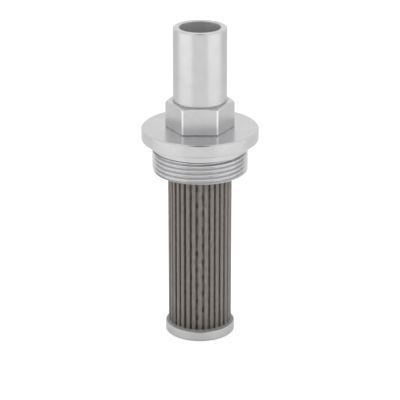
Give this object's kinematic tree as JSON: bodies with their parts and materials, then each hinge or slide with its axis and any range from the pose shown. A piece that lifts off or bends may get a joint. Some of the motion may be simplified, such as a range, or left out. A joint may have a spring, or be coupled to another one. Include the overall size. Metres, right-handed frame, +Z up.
{
  "type": "hydraulic suction filter",
  "caption": "Tank-mounted hydraulic suction filter: hose tube, hexagon, flanged 1 1/2 BSPP male head and a pleated wire mesh element with a bottom cap.",
  "frame": {"origin": "centre of the bottom cap's underside, where the filter stands", "axes": "+Z up the filter's axis, from the bottom cap to the hose tube"},
  "size_m": [0.0582, 0.0582, 0.16],
  "materials": {
    "turned_aluminium": "turned",
    "cap_aluminium": "satin",
    "core_steel": "satin",
    "wire_mesh": "woven",
    "potting_resin": "cast",
    "seal_rubber": "matt"
  },
  "bodies": {
    "root": {"bottom_cap": "cap_aluminium", "lower_resin": "potting_resin", "perforated_core": "core_steel", "pleated_mesh": "wire_mesh", "upper_resin": "potting_resin", "threaded_head": "turned_aluminium", "adapter_seal": "seal_rubber", "hose_adapter": "turned_aluminium"}
  },
  "joints": []
}
